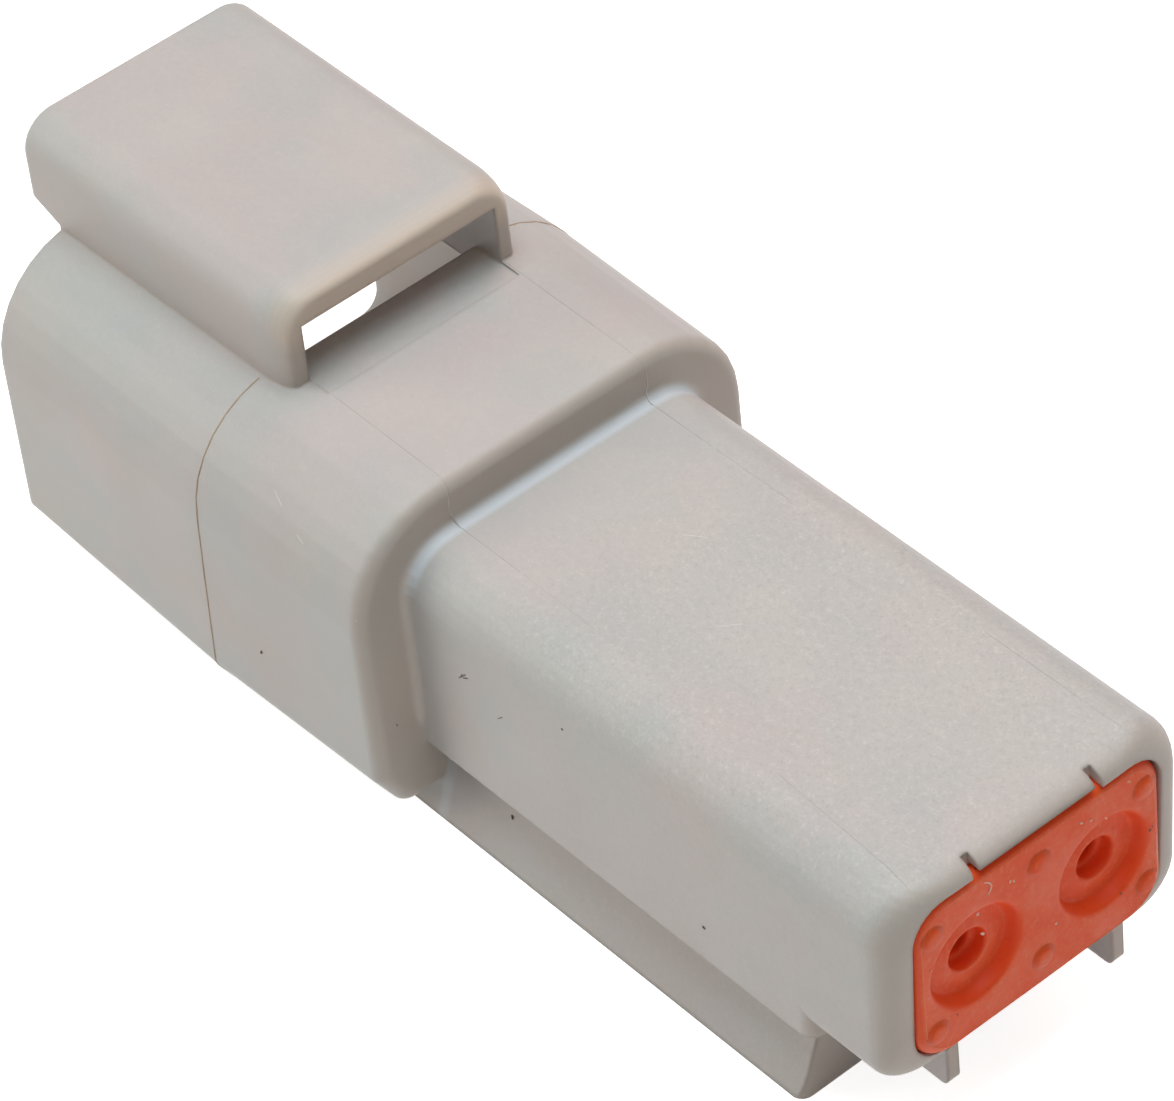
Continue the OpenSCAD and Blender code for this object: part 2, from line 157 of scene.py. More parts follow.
def build_moulded_grain():
    """Spark-eroded skin of a moulding: fine pits, soft mottling and faint flow streaks."""
    g, t, i, o = new_group(
        "moulded_grain",
        [("Vector", V, None), ("Grain Size", F, 0.0002), ("Mottle Size", F, 0.003), ("Seed", F, 0.0)],
        [("Height", F), ("Speckle", F), ("Pits", F), ("Mottle", F), ("Flow", F), ("Blush", F)],
    )
    shift = t.put("ShaderNodeVectorMath", operation="ADD")
    t.join(i.outputs["Vector"], shift.inputs[0])
    t.join(i.outputs["Seed"], shift.inputs[1])
    v = shift.outputs[0]

    def sized(size, detail, rough):
        n = t.put("ShaderNodeTexNoise")
        t.join(v, n.inputs["Vector"])
        t.join(t.math("DIVIDE", 1.0, size), n.inputs["Scale"])
        n.inputs["Detail"].default_value = detail
        n.inputs["Roughness"].default_value = rough
        return n.outputs["Fac"]

    grain = sized(i.outputs["Grain Size"], 2.0, 0.6)
    coarse = sized(t.math("MULTIPLY", i.outputs["Grain Size"], 2.6), 2.0, 0.5)
    both = t.math("ADD", t.math("MULTIPLY", grain, 0.6), t.math("MULTIPLY", coarse, 0.4))
    cloud = sized(i.outputs["Mottle Size"], 4.0, 0.55)
    blush = sized(t.math("MULTIPLY", i.outputs["Mottle Size"], 1.7), 3.0, 0.6)
    flow = t.noise(v, 420.0, 3.0, 0.5, stretch=(0.22, 1.0, 1.0))
    t.join(both, o.inputs["Height"])
    t.join(t.ramp(both, 0.53, 0.68), o.inputs["Speckle"])
    t.join(t.ramp(both, 0.47, 0.34), o.inputs["Pits"])
    t.join(t.ramp(cloud, 0.36, 0.64), o.inputs["Mottle"])
    t.join(t.ramp(flow, 0.35, 0.65), o.inputs["Flow"])
    t.join(t.ramp(blush, 0.42, 0.60), o.inputs["Blush"])
    return g


def build_edge_wear_and_painted_light():
    """A mask of the outer edges, broken up by a small noise; its tints stand partly for wear and partly for painted
    light on rounded edges.
    """
    g, t, i, o = new_group(
        "edge_wear_and_painted_light",
        [("Vector", V, None), ("Radius", F, 0.0002), ("Amount", F, 1.0)],
        [("Edge", F), ("Normal", V)],
    )
    bevel = t.put("ShaderNodeBevel", samples=6)
    t.join(i.outputs["Radius"], bevel.inputs["Radius"])
    geo = t.put("ShaderNodeNewGeometry")
    dot = t.put("ShaderNodeVectorMath", operation="DOT_PRODUCT")
    t.join(bevel.outputs[0], dot.inputs[0])
    t.join(geo.outputs["Normal"], dot.inputs[1])
    turned = t.ramp(dot.outputs["Value"], 0.985, 0.86)
    patchy = t.ramp(t.noise(i.outputs["Vector"], 900.0, 3.0), 0.3, 0.7, 0.55, 1.0)
    t.join(t.math("MULTIPLY", t.math("MULTIPLY", turned, patchy), i.outputs["Amount"], True), o.inputs["Edge"])
    t.join(bevel.outputs[0], o.inputs["Normal"])
    return g


LIP_HIGHLIGHT_X = (-0.0100, -0.0092)  # where the painted highlight on the hood's rear lip starts, as the lip rounds over
FILLET_HIGHLIGHT_X = (-0.00100, -0.00080, -0.00055, -0.00030)  # where the painted highlight on the hollow fillet of the shoulder starts and ends
grain_group = build_moulded_grain()
edge_wear_light_group = build_edge_wear_and_painted_light()


def new_material(name):
    m = bpy.data.materials.new(name)
    m.use_nodes = True
    m.node_tree.nodes.clear()
    t = Tree(m.node_tree)
    shader = t.put("ShaderNodeBsdfPrincipled")
    out = t.put("ShaderNodeOutputMaterial")
    t.join(shader.outputs[0], out.inputs["Surface"])
    coords = t.put("ShaderNodeTexCoord")
    return m, t, shader, coords.outputs["Object"]


def put_group(t, group, vector, **values):
    n = t.put("ShaderNodeGroup", node_tree=group)
    t.join(vector, n.inputs["Vector"])
    for key, v in values.items():
        t.feed(n.inputs[key.replace("_", " ")], v)
    return n


def bump(t, height, distance, strength=1.0, normal=None):
    b = t.put("ShaderNodeBump")
    b.inputs["Strength"].default_value = strength
    b.inputs["Distance"].default_value = distance
    t.join(height, b.inputs["Height"])
    if normal is not None:
        t.join(normal, b.inputs["Normal"])
    return b.outputs[0]


def across(t, vector, axis):
    """One coordinate of a vector."""
    n = t.put("ShaderNodeSeparateXYZ")
    t.join(vector, n.inputs[0])
    return n.outputs[axis]


def housing_material():
    m, t, s, v = new_material("housing_plastic")
    g = put_group(t, grain_group, v, Grain_Size=0.00011, Mottle_Size=0.0045)
    e = put_group(t, edge_wear_light_group, v, Radius=0.00028, Amount=0.5)
    geo = t.put("ShaderNodeNewGeometry")
    x, z = across(t, v, "X"), across(t, v, "Z")
    nx, nz = across(t, geo.outputs["Normal"], "X"), across(t, geo.outputs["Normal"], "Z")
    grainy = t.math("MULTIPLY", t.ramp(x, 0.0, 0.007, 0.35, 1.0), t.ramp(nz, 0.1, 0.9, 0.35, 1.0))
    base = t.mix(g.outputs["Mottle"], srgb(189, 187, 184), srgb(197, 191, 186))
    base = t.mix(t.math("MULTIPLY", g.outputs["Blush"], 0.8), base, srgb(199, 187, 184))
    base = t.mix(t.math("MULTIPLY", t.math("MULTIPLY", g.outputs["Speckle"], grainy), 0.62), base, srgb(215, 208, 203))
    base = t.mix(t.math("MULTIPLY", t.math("MULTIPLY", g.outputs["Pits"], grainy), 0.45), base, srgb(172, 167, 163))
    base = t.mix(t.math("MULTIPLY", g.outputs["Flow"], 0.2), base, srgb(186, 184, 183))
    # rounded edges are tinted tan, partly as wear and partly as a painted highlight
    base = t.mix(e.outputs["Edge"], base, srgb(203, 187, 170))
    # painted warm light: faces turned to the wire end take a tan cast, and the hood's rear lip gets a lighter painted
    # tan highlight
    base = t.mix(t.math("MULTIPLY", t.ramp(nx, 0.1, 0.6), 0.55), base, srgb(196, 182, 168))
    # painted highlight: the rounded rear lip of the hood is lightened to a pale tan
    lip = t.math("MULTIPLY", t.ramp(x, LIP_HIGHLIGHT_X[0], LIP_HIGHLIGHT_X[1]), t.ramp(x, 0.0, -0.004))
    lip = t.math("MULTIPLY", t.math("MULTIPLY", lip, t.ramp(z, 0.0160, 0.0168)), t.ramp(nx, 0.05, 0.5))
    base = t.mix(t.math("MULTIPLY", lip, 0.65), base, srgb(222, 203, 184))
    # painted highlight: the hollow fillet behind the shoulder is lightened to a pale bluish white
    fillet = t.math("MULTIPLY", t.ramp(x, FILLET_HIGHLIGHT_X[0], FILLET_HIGHLIGHT_X[1]), t.ramp(x, FILLET_HIGHLIGHT_X[3], FILLET_HIGHLIGHT_X[2]))
    fillet = t.math("MULTIPLY", fillet, t.ramp(nz, 0.1, 0.6))
    base = t.mix(t.math("MULTIPLY", fillet, 0.62), base, srgb(224, 231, 240))
    t.join(base, s.inputs["Base Color"])
    t.join(t.ramp(g.outputs["Mottle"], 0.0, 1.0, 0.46, 0.54), s.inputs["Roughness"])
    s.inputs["IOR"].default_value = 1.5
    t.join(bump(t, g.outputs["Height"], 0.000014, 0.55, e.outputs["Normal"]), s.inputs["Normal"])
    return m


def rubber_material(name, face, low, shade_orange, soft=0.0):
    """Faces turned away from +X and the rounded edges are painted a deeper, more saturated orange as painted shade;
    flat faces stay paler.
    """
    m, t, s, v = new_material(name)
    g = put_group(t, grain_group, v, Grain_Size=0.00016, Mottle_Size=0.0016, Seed=3.0)
    e = put_group(t, edge_wear_light_group, v, Radius=0.00012, Amount=0.5)
    geo = t.put("ShaderNodeNewGeometry")
    base = t.mix(g.outputs["Mottle"], face, low)
    base = t.mix(t.math("MULTIPLY", g.outputs["Speckle"], 0.22), base, srgb(255, 172, 136))
    # painted shade: faces turned away from +X take the deeper orange
    base = t.mix(t.ramp(across(t, geo.outputs["Normal"], "X"), 0.97, 0.80), base, shade_orange)
    base = t.mix(t.math("MULTIPLY", g.outputs["Pits"], 0.2), base, srgb(226, 70, 28))
    # painted shade: rounded edges take the deeper orange too
    base = t.mix(e.outputs["Edge"], base, shade_orange)
    t.join(base, s.inputs["Base Color"])
    t.join(t.ramp(g.outputs["Mottle"], 0.0, 1.0, 0.44, 0.56), s.inputs["Roughness"])
    s.inputs["IOR"].default_value = 1.42
    s.inputs["Specular IOR Level"].default_value = 0.35
    if soft:
        s.inputs["Subsurface Weight"].default_value = soft
        s.inputs["Subsurface Radius"].default_value = (1.0, 0.22, 0.08)
        s.inputs["Subsurface Scale"].default_value = 0.0004
    t.join(bump(t, g.outputs["Height"], 0.000014, 0.4, e.outputs["Normal"]), s.inputs["Normal"])
    return m


def pin_material():
    m, t, s, v = new_material("pin_plating")
    g = put_group(t, grain_group, v, Grain_Size=0.0001, Mottle_Size=0.001, Seed=5.0)
    base = t.mix(g.outputs["Mottle"], srgb(196, 190, 178), srgb(178, 172, 162))
    t.join(base, s.inputs["Base Color"])
    s.inputs["Metallic"].default_value = 1.0
    t.join(t.ramp(g.outputs["Mottle"], 0.0, 1.0, 0.22, 0.36), s.inputs["Roughness"])
    t.join(bump(t, g.outputs["Height"], 0.000004, 0.4), s.inputs["Normal"])
    return m


def plain_material(name, one, two, rough, size=0.0004):
    """Small marks and crumbs: two close colours in a fine noise."""
    m, t, s, v = new_material(name)
    g = put_group(t, grain_group, v, Grain_Size=size, Mottle_Size=size * 4, Seed=7.0)
    t.join(t.mix(g.outputs["Mottle"], one, two), s.inputs["Base Color"])
    s.inputs["Roughness"].default_value = rough
    t.join(bump(t, g.outputs["Height"], 0.000005, 0.3), s.inputs["Normal"])
    return m


plastic = housing_material()
# the third colour of each rubber material is the painted shade of its turned faces and edges
seal_rubber = rubber_material("seal_rubber", srgb(255, 104, 56), srgb(255, 96, 50), srgb(254, 92, 42), 0.3)
wedge_plastic = rubber_material("wedge_plastic", srgb(228, 112, 56), srgb(220, 104, 50), srgb(222, 98, 40))
plating = pin_material()
parting_tan = plain_material("parting_tan", srgb(176, 152, 130), srgb(192, 168, 146), 0.6)
witness_grey = plain_material("witness_grey", srgb(172, 165, 160), srgb(186, 179, 174), 0.6)
# dark red for the painted shadow in the gap above the seal
gap_shadow_red = plain_material("gap_shadow_red", srgb(96, 34, 22), srgb(120, 44, 28), 0.8)
seal_flash = plain_material("seal_flash", srgb(255, 128, 70), srgb(255, 112, 52), 0.5)
crumb_white = plain_material("crumb_white", srgb(250, 226, 210), srgb(255, 190, 150), 0.8)
dust_dark = plain_material("dust_dark", srgb(96, 84, 78), srgb(126, 112, 104), 0.9)
scuff_light = plain_material("scuff_light", srgb(214, 208, 202), srgb(228, 222, 216), 0.7)


# ------------------------------------------------------------------ pieces
class Skin:
    """Points in mm and faces of one closed piece, built ring by ring."""

    def __init__(self):
        self.v, self.f = [], []

    def ring(self, points):
        start = len(self.v)
        self.v.extend(points)
        return list(range(start, len(self.v)))

    def band(self, a, b):
        n = len(a)
        self.f.extend((a[i], a[(i + 1) % n], b[(i + 1) % n], b[i]) for i in range(n))

    def tube(self, rings):
        """Bands from each ring of points to the next; gives the first and the last ring back."""
        ids = [self.ring(r) for r in rings]
        for a, b in zip(ids, ids[1:]):
            self.band(a, b)
        return ids[0], ids[-1]

    def plate(self, outer, holes):
        """A flat face across X between an outline and round holes, filled with triangles."""
        loops = [outer, *holes]
        ids = [i for loop in loops for i in loop]
        flat = [Vector(self.v[i][1:]) for i in ids]
        middles = [sum((Vector(self.v[i][1:]) for i in h), Vector((0, 0))) / len(h) for h in holes]
        radii = [(Vector(self.v[h[0]][1:]) - c).length for h, c in zip(holes, middles)]
        edges, start = [], 0
        for loop in loops:
            edges.extend((start + i, start + (i + 1) % len(loop)) for i in range(len(loop)))
            start += len(loop)
        points, _, tris, _, _, _ = delaunay_2d_cdt(flat, edges, [], 0, 1e-9)
        for t in tris:
            c = sum((points[i] for i in t), Vector((0, 0))) / 3
            if all((c - m).length > r * 0.999 for m, r in zip(middles, radii)):
                self.f.append(tuple(ids[i] for i in t))

    def piece(self, name, material, body):
        me = bpy.data.meshes.new(name)
        me.from_pydata([mm(*p) for p in self.v], [], self.f)
        bm = bmesh.new()
        bm.from_mesh(me)
        bmesh.ops.remove_doubles(bm, verts=bm.verts, dist=1e-7)
        bmesh.ops.recalc_face_normals(bm, faces=bm.faces)
        bm.to_mesh(me)
        bm.free()
        me.polygons.foreach_set("use_smooth", [True] * len(me.polygons))
        me.materials.append(material)
        ob = bpy.data.objects.new(name, me)
        scene.collection.objects.link(ob)
        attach(ob, body)
        return ob


def rounded_outline(x, half_w, half_h, mid_z, r, n=12):
    """Points round a rounded rectangle across X."""
    points = []
    for k, (sy, sz) in enumerate(((1, 1), (-1, 1), (-1, -1), (1, -1))):
        for i in range(n + 1):
            a = math.radians(90 * k + 90 * i / n)
            points.append((x, sy * (half_w - r) + r * math.cos(a), mid_z + sz * (half_h - r) + r * math.sin(a)))
    return points


def circle(x, y, z, r, n=72):
    return [(x, y + r * math.cos(2 * math.pi * i / n), z + r * math.sin(2 * math.pi * i / n)) for i in range(n)]


def dress(ob, material):
    ob.data.materials.clear()
    ob.data.materials.append(material)


for name, material in (("housing", plastic), ("rear_seal", seal_rubber), ("wedge_lock", wedge_plastic),
                       ("contact_left", plating), ("contact_right", plating)):
    dress(nodes[name], material)

# ------------------------------------------------------------------ rear seal
mounts = {m["name"]: m for m in frame["record"]["mounts"]}
seal_low, seal_high = (Vector(p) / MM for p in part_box("rear_seal"))
AXIS_Z = mounts["pin_left"]["pos_m"][2] / MM  # height of the contacts above the rail's foot
PITCH_Y = abs(mounts["wire_hole_left"]["pos_m"][1]) / MM
HOLE_R = mounts["wire_hole_left"]["dims"]["r_mm"]
DOT_H = 0.16
SEAL_FACE = seal_high.x - DOT_H


def build_seal():
    """The silicone seal: ribbed round its edge, a dish and a stepped hole for each wire, soft dots."""
    s = Skin()
    half_w, half_h = seal_high.y, (seal_high.z - seal_low.z) / 2
    corner, rib_in, ribs, head, edge_x, edge_in = 1.5, 0.35, 3, 1.6, 0.42, 0.34

    def across_at(x, inset):
        return rounded_outline(x, half_w - inset, half_h - inset, AXIS_Z, corner - inset * 0.5)

    low_gap = 0.07  # the face stands a little off its pocket along the lower edge

    back = seal_low.x
    rib_l = (SEAL_FACE - head - back) / ribs
    rings = [across_at(back, rib_in)]
    for j in range(ribs):
        for i in range(9):
            rings.append(across_at(back + rib_l * (j + 0.15 + 0.7 * i / 8), rib_in * (1 - math.sin(math.pi * i / 8))))
    rings += [across_at(SEAL_FACE - head, rib_in), across_at(SEAL_FACE - head + 0.4, 0)]
    for i in range(11):
        a = math.radians(9 * i)
        ring = across_at(SEAL_FACE - edge_x * (1 - math.sin(a)), edge_in * (1 - math.cos(a)))
        rings.append([(x, y, z + (low_gap if z < AXIS_Z else 0) * i / 10) for x, y, z in ring])
    first, last = s.tube(rings)
    # radius and depth from the face, from the dish's rounded rim down to the hole and through to the back
    profile = (
        (2.20, 0.0), (2.14, 0.006), (2.08, 0.025), (2.03, 0.06), (1.99, 0.11), (1.95, 0.18), (1.91, 0.27),
        (1.87, 0.37), (1.83, 0.46), (1.79, 0.525), (1.75, 0.555), (1.70, 0.565), (1.62, 0.56), (1.45, 0.535),
        (1.20, 0.49), (1.02, 0.455), (0.95, 0.445), (0.90, 0.45), (0.86, 0.465), (0.83, 0.50), (0.81, 0.56),
        (0.795, 0.75), (0.78, 0.90), (0.74, 0.96), (0.66, 0.99), (0.59, 1.01), (0.555, 1.05), (0.545, 1.15),
        (0.56, 1.55), (0.62, 1.75), (HOLE_R, 1.95), (HOLE_R, SEAL_FACE - back),
    )
    mouths, ends = [], []
    for y in (-PITCH_Y, PITCH_Y):
        a, b = s.tube([circle(SEAL_FACE - d, y, AXIS_Z, r) for r, d in profile])
        mouths.append(a)
        ends.append(b)
    s.plate(last, mouths)
    s.plate(first, ends)
    dot = ((0.36, -0.06), (0.50, -0.012), (0.465, 0.004), (0.435, 0.018), (0.41, 0.042), (0.385, 0.075),
           (0.35, 0.105), (0.30, 0.130), (0.23, 0.148), (0.15, 0.156), (0.07, DOT_H))
    for y in (-4.78, 0.0, 4.78):
        for z in (-2.25, 2.25):
            a, b = s.tube([circle(SEAL_FACE + h, y, AXIS_Z + z, r, 32) for r, h in dot])
            s.f.append(tuple(a))
            s.f.append(tuple(b))
    seal = s.piece("rear_seal_skin", seal_rubber, "housing")
    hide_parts("rear_seal")
    return seal


seal = build_seal()

# ------------------------------------------------------------------ beads and crumbs
def node_group(name, inputs):
    g = bpy.data.node_groups.new(name, "GeometryNodeTree")
    g.interface.new_socket(name="Geometry", in_out="INPUT", socket_type="NodeSocketGeometry")
    for label, kind, default in inputs:
        s = g.interface.new_socket(name=label, in_out="INPUT", socket_type=kind)
        if default is not None:
            s.default_value = default
    g.interface.new_socket(name="Geometry", in_out="OUTPUT", socket_type="NodeSocketGeometry")
    t = Tree(g)
    return g, t, t.put("NodeGroupInput"), t.put("NodeGroupOutput")


def finish_nodes(t, i, o, geometry):
    real = t.put("GeometryNodeRealizeInstances")
    t.join(geometry, real.inputs[0])
    paint = t.put("GeometryNodeSetMaterial")
    t.join(real.outputs[0], paint.inputs["Geometry"])
    t.join(i.outputs["Material"], paint.inputs["Material"])
    t.join(paint.outputs[0], o.inputs[0])


def build_bead_nodes():
    """A thin, slightly wandering bead along the edges of a line."""
    g, t, i, o = node_group("bead_along_line", [
        ("Radius", F, 0.00003), ("Wander", F, 0.00002), ("Spacing", F, 0.00015), ("Seed", F, 0.0),
        ("Material", "NodeSocketMaterial", None)])
    curve = t.put("GeometryNodeMeshToCurve")
    t.join(i.outputs["Geometry"], curve.inputs[0])
    even = t.put("GeometryNodeResampleCurve", mode="LENGTH")
    t.join(curve.outputs[0], even.inputs["Curve"])
    t.join(i.outputs["Spacing"], even.inputs["Length"])
    place = t.put("GeometryNodeInputPosition")
    noise = t.put("ShaderNodeTexNoise", noise_dimensions="4D")
    noise.inputs["Scale"].default_value = 900.0
    t.join(place.outputs[0], noise.inputs["Vector"])
    t.join(i.outputs["Seed"], noise.inputs["W"])
    centre = t.put("ShaderNodeVectorMath", operation="SUBTRACT")
    t.join(noise.outputs["Color"], centre.inputs[0])
    centre.inputs[1].default_value = (0.5, 0.5, 0.5)
    sway = t.put("ShaderNodeVectorMath", operation="SCALE")
    t.join(centre.outputs[0], sway.inputs[0])
    t.join(i.outputs["Wander"], sway.inputs["Scale"])
    moved = t.put("GeometryNodeSetPosition")
    t.join(even.outputs[0], moved.inputs["Geometry"])
    t.join(sway.outputs[0], moved.inputs["Offset"])
    ring = t.put("GeometryNodeCurvePrimitiveCircle")
    ring.inputs["Resolution"].default_value = 6
    t.join(i.outputs["Radius"], ring.inputs["Radius"])
    solid = t.put("GeometryNodeCurveToMesh")
    t.join(moved.outputs[0], solid.inputs["Curve"])
    t.join(ring.outputs[0], solid.inputs["Profile Curve"])
    solid.inputs["Fill Caps"].default_value = True
    finish_nodes(t, i, o, solid.outputs[0])
    return g


def build_crumb_nodes():
    """Small lumps, one on each point, flattened and turned by chance."""
    g, t, i, o = node_group("crumbs_on_points", [
        ("Size Min", F, 0.00003), ("Size Max", F, 0.00008), ("Flatten", F, 0.5), ("Seed", "NodeSocketInt", 1),
        ("Material", "NodeSocketMaterial", None)])
    lump = t.put("GeometryNodeMeshIcoSphere")
    lump.inputs["Radius"].default_value = 1.0
    lump.inputs["Subdivisions"].default_value = 2
    place = t.put("GeometryNodeInputPosition")
    noise = t.put("ShaderNodeTexNoise")
    noise.inputs["Scale"].default_value = 1.3
    t.join(place.outputs[0], noise.inputs["Vector"])
    uneven = t.put("GeometryNodeSetPosition")
    t.join(lump.outputs[0], uneven.inputs["Geometry"])
    push = t.put("ShaderNodeVectorMath", operation="SCALE")
    t.join(place.outputs[0], push.inputs[0])
    t.join(t.math("SUBTRACT", noise.outputs["Fac"], 0.5), push.inputs["Scale"])
    t.join(push.outputs[0], uneven.inputs["Offset"])
    size = t.put("FunctionNodeRandomValue", data_type="FLOAT")
    turn = t.put("FunctionNodeRandomValue", data_type="FLOAT_VECTOR")
    turn.inputs[0].default_value = (0, 0, 0)
    turn.inputs[1].default_value = (6.28, 6.28, 6.28)
    floats = [s for s in size.inputs if s.enabled]
    t.join(i.outputs["Size Min"], floats[0])
    t.join(i.outputs["Size Max"], floats[1])
    for n in (size, turn):
        t.join(i.outputs["Seed"], [s for s in n.inputs if s.enabled and s.name == "Seed"][0])
    grow = t.put("ShaderNodeCombineXYZ")
    value = [s for s in size.outputs if s.enabled][0]
    t.join(value, grow.inputs[0])
    t.join(value, grow.inputs[1])
    t.join(t.math("MULTIPLY", value, i.outputs["Flatten"]), grow.inputs[2])
    spread = t.put("GeometryNodeInstanceOnPoints")
    t.join(i.outputs["Geometry"], spread.inputs["Points"])
    t.join(uneven.outputs[0], spread.inputs["Instance"])
    t.join([s for s in turn.outputs if s.enabled][0], spread.inputs["Rotation"])
    t.join(grow.outputs[0], spread.inputs["Scale"])
    finish_nodes(t, i, o, spread.outputs[0])
    return g


bead_nodes = build_bead_nodes()
crumb_nodes = build_crumb_nodes()


def grow_piece(name, points, edges, group, values, body):
    """Run a node group on points and edges, given in mm, and keep its result as a plain mesh."""
    seed = bpy.data.meshes.new(name + "_seed")
    seed.from_pydata([mm(*p) for p in points], edges, [])
    ob = bpy.data.objects.new(name, seed)
    scene.collection.objects.link(ob)
    mod = ob.modifiers.new("grow", "NODES")
    mod.node_group = group
    sockets = {s.name: s.identifier for s in group.interface.items_tree if s.in_out == "INPUT"}
    for key, v in values.items():
        mod[sockets[key]] = v
    deps = bpy.context.evaluated_depsgraph_get()
    me = bpy.data.meshes.new_from_object(ob.evaluated_get(deps), depsgraph=deps)
    ob.modifiers.clear()
    ob.data = me
    me.name = name
    bpy.data.meshes.remove(seed)
    bm = bmesh.new()
    bm.from_mesh(me)
    bmesh.ops.recalc_face_normals(bm, faces=bm.faces)
    bm.to_mesh(me)
    bm.free()
    me.polygons.foreach_set("use_smooth", [True] * len(me.polygons))
    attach(ob, body)
    return ob


def strings(lines):
    """Points and edges of several open lines."""
    points, edges = [], []
    for line in lines:
        start = len(points)
        points.extend(line)
        edges.extend((start + i, start + i + 1) for i in range(len(line) - 1))
    return points, edges


def beads(name, lines, material, radius, wander, body="housing", seed=0.0):
    points, edges = strings(lines)
    return grow_piece(name, points, edges, bead_nodes, {
        "Radius": radius * MM, "Wander": wander * MM, "Seed": seed, "Material": material}, body)


def crumbs(name, points, material, low, high, flat, seed, body="housing"):
    return grow_piece(name, points, [], crumb_nodes, {
        "Size Min": low * MM, "Size Max": high * MM, "Flatten": flat, "Seed": seed, "Material": material}, body)


def skin_tree(node):
    me = nodes[node].data
    return BVHTree.FromPolygons([v.co.copy() for v in me.vertices], [tuple(p.vertices) for p in me.polygons])


housing_tree = skin_tree("housing")


def on_housing(points, lift=0.0):
    """The nearest points of the housing's skin, raised a little along its normal."""
    out = []
    for p in points:
        place, normal, _, _ = housing_tree.find_nearest(mm(*p))
        out.append(tuple((place + normal * lift * MM) / MM))
    return out


def along(corners, step=0.12):
    """Points every step along straight runs between corners."""
    out = []
    for a, b in zip(corners, corners[1:]):
        a, b = Vector(a), Vector(b)
        n = max(1, round((b - a).length / step))
        out.extend(tuple(a.lerp(b, i / n)) for i in range(n))
    out.append(tuple(corners[-1]))
    return out


def cast(start, way):
    hit, _, _, _ = housing_tree.ray_cast(mm(*start), Vector(way))
    return tuple(hit / MM) if hit else None


# ------------------------------------------------------------------ parting and witness lines
def parting_ring():
    """Round the shroud where the mould's halves met: the line wanders a little along X with height."""
    heights, shift = (3.0, 7.0, 10.7, 14.6), (-10.24, -10.02, -9.78, -9.90)
    ring = []
    for i in range(241):
        a = math.radians(-150 + 300 * i / 240 + 90)
        far = (0, 14 * math.cos(a), AXIS_Z + 14 * math.sin(a))
        hit = cast((-10.0, *far[1:]), (0, -math.cos(a), -math.sin(a)))
        if not hit:
            continue
        z = hit[2]
        k = max(j for j in range(3) if z >= heights[j] or j == 0)
        part = min(max((z - heights[k]) / (heights[k + 1] - heights[k]), 0), 1)
        ring.append((shift[k] + (shift[k + 1] - shift[k]) * part, hit[1], z))
    return ring


hood_low, hood_high = 5.25, 14.75
ring = parting_ring()
left = [p for p in ring if not (abs(p[1]) < 5.4 and p[2] > AXIS_Z)]
runs, run = [], []
for p in left:
    if run and (Vector(p) - Vector(run[-1])).length > 1.0:
        runs.append(run)
        run = []
    run.append(p)
runs.append(run)
beads("parting_ring", [on_housing(r, -0.004) for r in runs], parting_tan, 0.036, 0.03)

SHROUD_Z, BODY_Z, FACE_X = 14.5, 12.62, -0.93
witness, faint = [], []
for y, drift in ((-4.30, -0.75), (4.48, 0.35)):
    witness.append(on_housing(along([(-8.2, y, SHROUD_Z), (-1.9, y, SHROUD_Z), (-1.25, y, SHROUD_Z - 0.05),
                                     (-0.97, y * 1.01, SHROUD_Z - 0.4), (FACE_X, y * 1.03, 13.9),
                                     (FACE_X, y * 1.03, 13.2), (FACE_X + 0.12, y, 12.85), (-0.45, y, BODY_Z),
                                     (2.6, y, BODY_Z)]), -0.006))
    faint.append(on_housing(along([(2.8, y, BODY_Z), (6.6, y * 1.01, BODY_Z)]), -0.010))
    faint.append(on_housing(along([(16.0, y * 1.06, BODY_Z), (21.6, y + drift * 0.8, BODY_Z),
                                   (22.9, y + drift, 12.5)]), -0.009))
beads("witness_lines", witness, witness_grey, 0.016, 0.02, seed=2.0)
beads("witness_ends", faint, witness_grey, 0.016, 0.02, seed=3.0)
beads("shoulder_hooks", [on_housing(along([(FACE_X, y * 1.03, 14.0), (FACE_X, y * 1.04, 13.3),
                                           (FACE_X + 0.1, y * 1.01, 12.86), (-0.55, y, 12.66)], 0.06), 0.01)
                         for y in (-4.30, 4.45)], scuff_light, 0.022, 0.02, seed=4.0)

# ------------------------------------------------------------------ flash and crumbs of the seal
face = SEAL_FACE + 0.004
edge_line = rounded_outline(SEAL_FACE - 0.012, seal_high.y - 0.31, (seal_high.z - seal_low.z) / 2 - 0.31, AXIS_Z, 1.36)
beads("seal_edge_flash", [edge_line + edge_line[:1]], seal_flash, 0.022, 0.03, seed=6.0)
hair = [(face, -2.42, 11.36), (face, -2.20, 11.22), (face, -2.10, 11.02), (face, -2.16, 10.84), (face, -2.30, 10.70)]
beads("seal_fibre", [along(hair, 0.06)], crumb_white, 0.022, 0.03, seed=8.0)
crumbs("seal_crumbs", [(face, -1.30, 10.58), (face, -1.14, 10.50), (face, -2.62, 9.10), (face, 2.36, 10.72),
                       (face, 3.02, 10.36), (face, 4.06, 11.30), (face, 4.16, 11.22), (face - 0.42, -2.40, 9.56),
                       (face, 1.92, 10.92), (face, -4.9, 9.1), (face, 0.62, 7.1), (face - 0.5, 2.86, 7.26)],
       crumb_white, 0.035, 0.075, 0.5, 3)
crumbs("seal_specks", [(face, 5.12, 8.40), (face, 5.02, 8.28), (face - 0.3, -2.1, 10.1), (face, 3.6, 6.3),
                       (face, -3.9, 6.2)], dust_dark, 0.03, 0.055, 0.5, 5)

# painted shadow: a dark red bead along the joint between the seal's top and the housing's lip stands for the shade in
# that gap
gap_shadow_z = seal_high.z + 0.02
beads("lip_gap_shadow", [along([(SEAL_FACE - 0.30, -2.5, gap_shadow_z), (SEAL_FACE - 0.30, 2.5, gap_shadow_z)])], gap_shadow_red, 0.05, 0.04, seed=9.0)

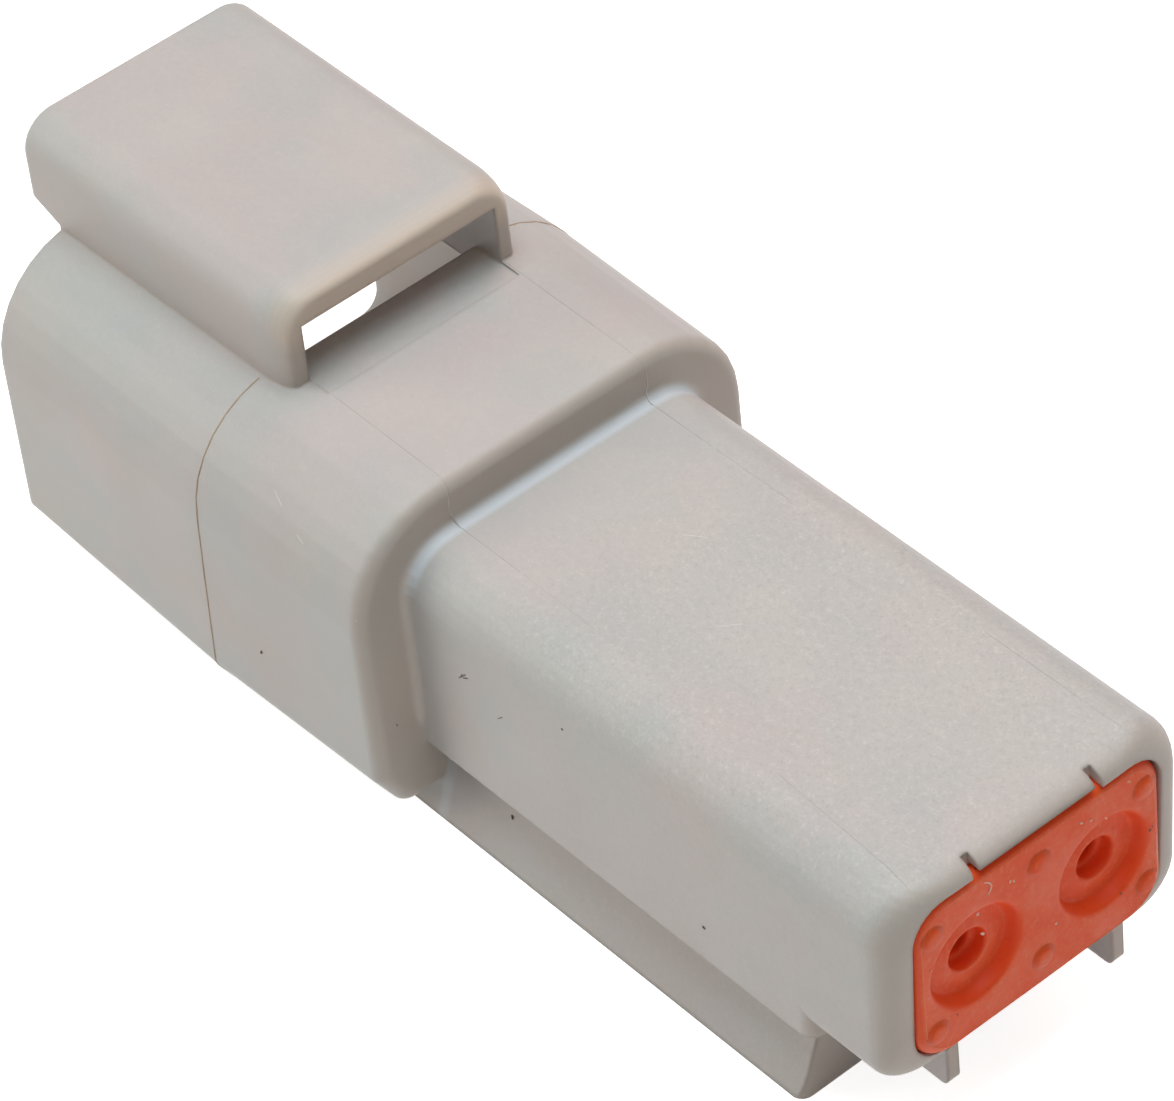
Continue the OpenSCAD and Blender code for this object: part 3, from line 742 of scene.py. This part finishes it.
# ------------------------------------------------------------------ marks on the housing
crumbs("housing_specks", on_housing([(-7.11, -9.04, 5.46), (-0.93, -7.89, 5.31), (2.69, -6.06, 1.95),
                                     (14.1, -6.8, 5.46), (7.4, -6.8, 10.2), (1.9, -6.8, 8.95)]),
       dust_dark, 0.05, 0.10, 0.35, 9)
crumbs("housing_dust", on_housing([(-1.13, -8.75, 10.86), (12.3, 2.9, 12.62), (-6.0, 0.4, 14.5)], -0.03),
       scuff_light, 0.05, 0.08, 0.4, 11)
beads("housing_scratches", [on_housing(along(line, 0.08), -0.006) for line in (
    [(1.70, -6.8, 8.70), (2.10, -6.8, 9.12)], [(1.95, -6.8, 8.86), (2.22, -6.8, 9.02)],
    [(3.70, -6.8, 8.10), (3.98, -6.8, 8.36)])], dust_dark, 0.022, 0.04, seed=12.0)
beads("housing_scuffs", [on_housing(along(line, 0.08), -0.012) for line in (
    [(-6.30, -7.90, 13.10), (-5.70, -8.10, 12.85)], [(-4.60, -8.40, 12.40), (-4.20, -8.45, 12.28)],
    [(5.2, 0.8, 12.62), (5.9, 1.3, 12.62)], [(9.4, -1.4, 12.62), (9.9, -0.7, 12.62)])],
    scuff_light, 0.022, 0.03, seed=14.0)

# ------------------------------------------------------------------ light and floor
def make_stage():
    me = bpy.data.meshes.new("floor")
    half = 3.0
    me.from_pydata([(-half, -half, 0), (half, -half, 0), (half, half, 0), (-half, half, 0)], [], [(0, 1, 2, 3)])
    floor = bpy.data.objects.new("floor", me)
    scene.collection.objects.link(floor)
    m, t, s, v = new_material("floor_paper")
    s.inputs["Roughness"].default_value = 0.9
    fine = t.noise(v, 300.0, 2.0)
    t.join(t.mix(fine, (0.74, 0.74, 0.74), (0.76, 0.76, 0.76)), s.inputs["Base Color"])
    path = t.put("ShaderNodeLightPath")
    seen = t.math("MAXIMUM", path.outputs["Is Camera Ray"], path.outputs["Is Glossy Ray"])
    seen = t.math("MAXIMUM", seen, path.outputs["Is Transmission Ray"])
    t.join(t.math("MULTIPLY", seen, 0.84), s.inputs["Emission Strength"])
    s.inputs["Emission Color"].default_value = (1, 1, 1, 1)
    me.materials.append(m)


def make_world():
    w = bpy.data.worlds.new("studio")
    scene.world = w
    w.use_nodes = True
    w.node_tree.nodes.clear()
    t = Tree(w.node_tree)
    out = t.put("ShaderNodeOutputWorld")
    bg = t.put("ShaderNodeBackground")
    path = t.put("ShaderNodeLightPath")
    seen = t.math("MAXIMUM", path.outputs["Is Camera Ray"], path.outputs["Is Transmission Ray"])
    bg.inputs["Color"].default_value = (1, 1, 1, 1)
    t.join(t.ramp(seen, 0.0, 1.0, 0.06, 1.0), bg.inputs["Strength"])
    t.join(bg.outputs[0], out.inputs["Surface"])


def lamp(name, place, size, power, colour):
    data = bpy.data.lights.new(name, "AREA")
    data.shape = "DISK"
    data.size = size
    data.energy = power
    ob = bpy.data.objects.new(name, data)
    scene.collection.objects.link(ob)
    ob.location = place
    ob.rotation_mode = "QUATERNION"
    ob.rotation_quaternion = (Vector((0, 0, 0.01)) - Vector(place)).to_track_quat("-Z", "Y")
    data.color = colour


make_stage()
make_world()
lamp("top_light", (0.0, 0.0, 0.45), 0.35, 1.57, (0.80, 0.955, 1.0))
lamp("front_left_light", (-0.32, -0.32, 0.20), 0.30, 0.78, (1.0, 0.94, 0.84))
lamp("rear_light", (0.30, -0.10, 0.33), 0.30, 0.19, (1.0, 0.72, 0.55))
lamp("back_light", (-0.10, 0.30, 0.34), 0.30, 0.70, (1.0, 0.62, 0.54))
scene.view_settings.view_transform = "Standard"
